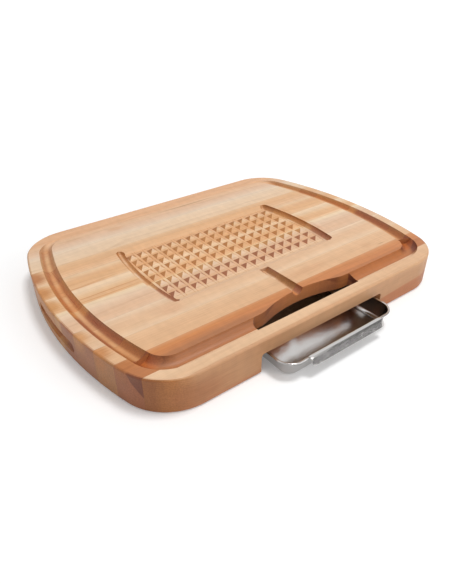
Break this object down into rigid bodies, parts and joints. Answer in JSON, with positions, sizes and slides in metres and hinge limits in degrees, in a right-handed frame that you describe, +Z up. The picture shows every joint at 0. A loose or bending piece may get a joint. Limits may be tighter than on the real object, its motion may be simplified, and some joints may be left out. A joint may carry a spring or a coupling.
{
  "type": "carving board with pull-out drip tray",
  "caption": "Thick maple carving board with bowed ends, a field of pyramid spikes, a juice channel, an arched drain mouth and a shallow steel tray that slides out from under its front edge.",
  "frame": {"origin": "centre of the board's flat underside", "axes": "+X along the board's length, +Y from the tray side to the back, +Z up"},
  "size_m": [0.6096, 0.5037, 0.053],
  "materials": {
    "maple_straw": "oiled, satin",
    "maple_amber": "oiled, satin",
    "maple_peach": "oiled, satin",
    "maple_rose": "oiled, satin",
    "maple_cream": "oiled, satin",
    "stainless": "satin"
  },
  "bodies": {
    "board": {"stave_01": "maple_straw", "stave_02": "maple_amber", "stave_03": "maple_peach", "stave_04": "maple_rose", "stave_05": "maple_cream", "stave_06": "maple_amber", "stave_07": "maple_peach", "stave_08": "maple_straw", "stave_09": "maple_cream", "stave_10": "maple_rose", "stave_11": "maple_amber"},
    "tray": {"tray_pan": "stainless", "tray_pull": "stainless"}
  },
  "joints": [
    {"name": "tray_slide", "type": "slide", "parent": "board", "child": "tray", "axis": [0, -1, 0], "range_m": [-0.04, 0.135]}
  ]
}
